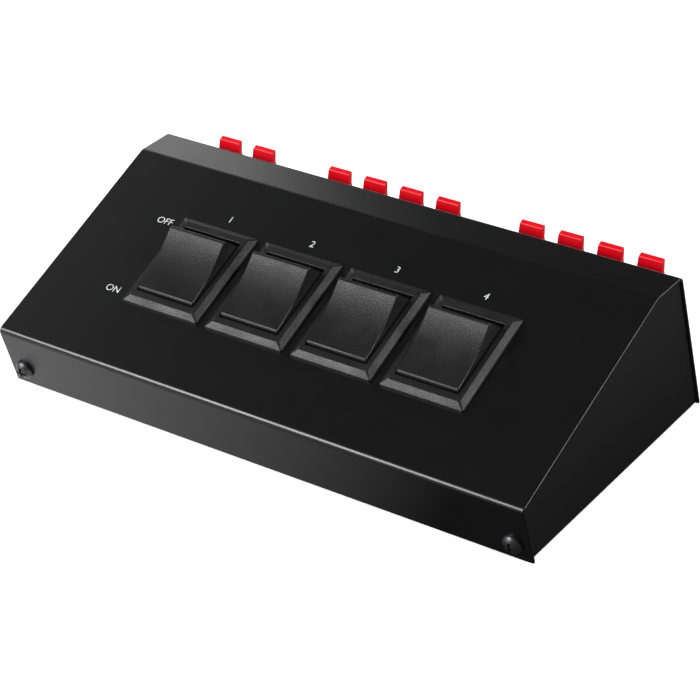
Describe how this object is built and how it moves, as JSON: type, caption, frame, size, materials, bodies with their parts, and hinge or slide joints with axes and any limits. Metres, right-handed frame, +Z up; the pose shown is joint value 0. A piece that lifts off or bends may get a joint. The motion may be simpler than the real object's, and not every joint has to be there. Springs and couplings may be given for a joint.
{
  "type": "speaker selector switch",
  "caption": "Sloped black sheet steel desk console with rocker switches on its slope and rows of spring lever terminals along its back wall.",
  "frame": {"origin": "centre of the console's outline on the surface it stands on", "axes": "+Z up, +X along the console to the user's right, +Y from the user towards the terminals"},
  "size_m": [0.17, 0.0958, 0.0471],
  "materials": {
    "cover_powder_coat": "fine black powder coat, low sheen",
    "chassis_powder_coat": "fine black powder coat, low sheen",
    "foot_rubber": "matt black rubber",
    "blackened_screw": "black oxide steel, slight shine",
    "rivet_black": "black painted rivet",
    "bezel_plastic": "black nylon with a fine spark texture",
    "rocker_plastic": "black plastic with a fine spark texture",
    "plunger_nylon": "natural nylon",
    "contact_brass": "bright brass",
    "clip_steel": "tinned spring steel",
    "terminal_plastic": "black moulded plastic",
    "lever_red_plastic": "satin red moulded plastic",
    "lever_black_plastic": "satin black moulded plastic"
  },
  "bodies": {
    "console": {"top_cover": "cover_powder_coat", "base_chassis": "chassis_powder_coat", "rubber_feet": "foot_rubber", "cover_screws": "blackened_screw", "switch_housing_1": "bezel_plastic", "switch_housing_2": "bezel_plastic", "switch_housing_3": "bezel_plastic", "switch_housing_4": "bezel_plastic", "switch_lugs": "contact_brass", "terminal_block_input": "terminal_plastic", "terminal_clips_input": "clip_steel", "terminal_block_output_a": "terminal_plastic", "terminal_clips_output_a": "clip_steel", "terminal_block_output_b": "terminal_plastic", "terminal_clips_output_b": "clip_steel", "terminal_rivets": "rivet_black"},
    "rocker_1": {"rocker_1": "rocker_plastic", "plunger_1": "plunger_nylon"},
    "rocker_2": {"rocker_2": "rocker_plastic", "plunger_2": "plunger_nylon"},
    "rocker_3": {"rocker_3": "rocker_plastic", "plunger_3": "plunger_nylon"},
    "rocker_4": {"rocker_4": "rocker_plastic", "plunger_4": "plunger_nylon"},
    "contact_1": {"contact_blade_1": "contact_brass"},
    "contact_2": {"contact_blade_2": "contact_brass"},
    "contact_3": {"contact_blade_3": "contact_brass"},
    "contact_4": {"contact_blade_4": "contact_brass"},
    "lever_red_01": {"lever_red_01": "lever_red_plastic"},
    "lever_red_02": {"lever_red_02": "lever_red_plastic"},
    "lever_red_03": {"lever_red_03": "lever_red_plastic"},
    "lever_red_04": {"lever_red_04": "lever_red_plastic"},
    "lever_red_05": {"lever_red_05": "lever_red_plastic"},
    "lever_red_06": {"lever_red_06": "lever_red_plastic"},
    "lever_red_07": {"lever_red_07": "lever_red_plastic"},
    "lever_red_08": {"lever_red_08": "lever_red_plastic"},
    "lever_red_09": {"lever_red_09": "lever_red_plastic"},
    "lever_red_10": {"lever_red_10": "lever_red_plastic"},
    "lever_black_01": {"lever_black_01": "lever_black_plastic"},
    "lever_black_02": {"lever_black_02": "lever_black_plastic"},
    "lever_black_03": {"lever_black_03": "lever_black_plastic"},
    "lever_black_04": {"lever_black_04": "lever_black_plastic"},
    "lever_black_05": {"lever_black_05": "lever_black_plastic"},
    "lever_black_06": {"lever_black_06": "lever_black_plastic"},
    "lever_black_07": {"lever_black_07": "lever_black_plastic"},
    "lever_black_08": {"lever_black_08": "lever_black_plastic"},
    "lever_black_09": {"lever_black_09": "lever_black_plastic"},
    "lever_black_10": {"lever_black_10": "lever_black_plastic"}
  },
  "joints": [
    {"name": "rocker_1_hinge", "type": "hinge", "parent": "console", "child": "rocker_1", "pos_m": [-0.04267, -0.01274, 0.03128], "axis": [1, 0, 0], "range_deg": [-29.2, 0]},
    {"name": "rocker_2_hinge", "type": "hinge", "parent": "console", "child": "rocker_2", "pos_m": [-0.01422, -0.01274, 0.03128], "axis": [1, 0, 0], "range_deg": [-29.2, 0]},
    {"name": "rocker_3_hinge", "type": "hinge", "parent": "console", "child": "rocker_3", "pos_m": [0.01422, -0.01274, 0.03128], "axis": [1, 0, 0], "range_deg": [-29.2, 0]},
    {"name": "rocker_4_hinge", "type": "hinge", "parent": "console", "child": "rocker_4", "pos_m": [0.04267, -0.01274, 0.03128], "axis": [1, 0, 0], "range_deg": [-29.2, 0]},
    {"name": "contact_1_hinge", "type": "hinge", "parent": "console", "child": "contact_1", "pos_m": [-0.04267, -0.00936, 0.02294], "axis": [1, 0, 0], "range_deg": [0, 10.8]},
    {"name": "contact_2_hinge", "type": "hinge", "parent": "console", "child": "contact_2", "pos_m": [-0.01422, -0.00936, 0.02294], "axis": [1, 0, 0], "range_deg": [0, 10.8]},
    {"name": "contact_3_hinge", "type": "hinge", "parent": "console", "child": "contact_3", "pos_m": [0.01422, -0.00936, 0.02294], "axis": [1, 0, 0], "range_deg": [0, 10.8]},
    {"name": "contact_4_hinge", "type": "hinge", "parent": "console", "child": "contact_4", "pos_m": [0.04267, -0.00936, 0.02294], "axis": [1, 0, 0], "range_deg": [0, 10.8]},
    {"name": "lever_red_01_hinge", "type": "hinge", "parent": "console", "child": "lever_red_01", "pos_m": [-0.06792, 0.03986, 0.03606], "axis": [1, 0, 0], "range_deg": [0, 16], "stiffness_Nm_per_rad": 0.02, "springref_deg": -8.59},
    {"name": "lever_red_02_hinge", "type": "hinge", "parent": "console", "child": "lever_red_02", "pos_m": [-0.05568, 0.03986, 0.03606], "axis": [1, 0, 0], "range_deg": [0, 16], "stiffness_Nm_per_rad": 0.02, "springref_deg": -8.59},
    {"name": "lever_red_03_hinge", "type": "hinge", "parent": "console", "child": "lever_red_03", "pos_m": [-0.02878, 0.03986, 0.03606], "axis": [1, 0, 0], "range_deg": [0, 16], "stiffness_Nm_per_rad": 0.02, "springref_deg": -8.59},
    {"name": "lever_red_04_hinge", "type": "hinge", "parent": "console", "child": "lever_red_04", "pos_m": [-0.01653, 0.03986, 0.03606], "axis": [1, 0, 0], "range_deg": [0, 16], "stiffness_Nm_per_rad": 0.02, "springref_deg": -8.59},
    {"name": "lever_red_05_hinge", "type": "hinge", "parent": "console", "child": "lever_red_05", "pos_m": [-0.00428, 0.03986, 0.03606], "axis": [1, 0, 0], "range_deg": [0, 16], "stiffness_Nm_per_rad": 0.02, "springref_deg": -8.59},
    {"name": "lever_red_06_hinge", "type": "hinge", "parent": "console", "child": "lever_red_06", "pos_m": [0.00797, 0.03986, 0.03606], "axis": [1, 0, 0], "range_deg": [0, 16], "stiffness_Nm_per_rad": 0.02, "springref_deg": -8.59},
    {"name": "lever_red_07_hinge", "type": "hinge", "parent": "console", "child": "lever_red_07", "pos_m": [0.03503, 0.03986, 0.03606], "axis": [1, 0, 0], "range_deg": [0, 16], "stiffness_Nm_per_rad": 0.02, "springref_deg": -8.59},
    {"name": "lever_red_08_hinge", "type": "hinge", "parent": "console", "child": "lever_red_08", "pos_m": [0.04727, 0.03986, 0.03606], "axis": [1, 0, 0], "range_deg": [0, 16], "stiffness_Nm_per_rad": 0.02, "springref_deg": -8.59},
    {"name": "lever_red_09_hinge", "type": "hinge", "parent": "console", "child": "lever_red_09", "pos_m": [0.05953, 0.03986, 0.03606], "axis": [1, 0, 0], "range_deg": [0, 16], "stiffness_Nm_per_rad": 0.02, "springref_deg": -8.59},
    {"name": "lever_red_10_hinge", "type": "hinge", "parent": "console", "child": "lever_red_10", "pos_m": [0.07178, 0.03986, 0.03606], "axis": [1, 0, 0], "range_deg": [0, 16], "stiffness_Nm_per_rad": 0.02, "springref_deg": -8.59},
    {"name": "lever_black_01_hinge", "type": "hinge", "parent": "console", "child": "lever_black_01", "pos_m": [-0.06792, 0.04339, 0.02334], "axis": [-1, 0, 0], "range_deg": [0, 16], "stiffness_Nm_per_rad": 0.02, "springref_deg": -8.59},
    {"name": "lever_black_02_hinge", "type": "hinge", "parent": "console", "child": "lever_black_02", "pos_m": [-0.05568, 0.04339, 0.02334], "axis": [-1, 0, 0], "range_deg": [0, 16], "stiffness_Nm_per_rad": 0.02, "springref_deg": -8.59},
    {"name": "lever_black_03_hinge", "type": "hinge", "parent": "console", "child": "lever_black_03", "pos_m": [-0.02878, 0.04339, 0.02334], "axis": [-1, 0, 0], "range_deg": [0, 16], "stiffness_Nm_per_rad": 0.02, "springref_deg": -8.59},
    {"name": "lever_black_04_hinge", "type": "hinge", "parent": "console", "child": "lever_black_04", "pos_m": [-0.01653, 0.04339, 0.02334], "axis": [-1, 0, 0], "range_deg": [0, 16], "stiffness_Nm_per_rad": 0.02, "springref_deg": -8.59},
    {"name": "lever_black_05_hinge", "type": "hinge", "parent": "console", "child": "lever_black_05", "pos_m": [-0.00428, 0.04339, 0.02334], "axis": [-1, 0, 0], "range_deg": [0, 16], "stiffness_Nm_per_rad": 0.02, "springref_deg": -8.59},
    {"name": "lever_black_06_hinge", "type": "hinge", "parent": "console", "child": "lever_black_06", "pos_m": [0.00797, 0.04339, 0.02334], "axis": [-1, 0, 0], "range_deg": [0, 16], "stiffness_Nm_per_rad": 0.02, "springref_deg": -8.59},
    {"name": "lever_black_07_hinge", "type": "hinge", "parent": "console", "child": "lever_black_07", "pos_m": [0.03503, 0.04339, 0.02334], "axis": [-1, 0, 0], "range_deg": [0, 16], "stiffness_Nm_per_rad": 0.02, "springref_deg": -8.59},
    {"name": "lever_black_08_hinge", "type": "hinge", "parent": "console", "child": "lever_black_08", "pos_m": [0.04727, 0.04339, 0.02334], "axis": [-1, 0, 0], "range_deg": [0, 16], "stiffness_Nm_per_rad": 0.02, "springref_deg": -8.59},
    {"name": "lever_black_09_hinge", "type": "hinge", "parent": "console", "child": "lever_black_09", "pos_m": [0.05953, 0.04339, 0.02334], "axis": [-1, 0, 0], "range_deg": [0, 16], "stiffness_Nm_per_rad": 0.02, "springref_deg": -8.59},
    {"name": "lever_black_10_hinge", "type": "hinge", "parent": "console", "child": "lever_black_10", "pos_m": [0.07178, 0.04339, 0.02334], "axis": [-1, 0, 0], "range_deg": [0, 16], "stiffness_Nm_per_rad": 0.02, "springref_deg": -8.59}
  ],
  "couplings": [
    {"joint": "contact_1_hinge", "follows": "rocker_1_hinge", "ratio": -0.34247},
    {"joint": "contact_2_hinge", "follows": "rocker_2_hinge", "ratio": -0.34247},
    {"joint": "contact_3_hinge", "follows": "rocker_3_hinge", "ratio": -0.34247},
    {"joint": "contact_4_hinge", "follows": "rocker_4_hinge", "ratio": -0.34247}
  ]
}
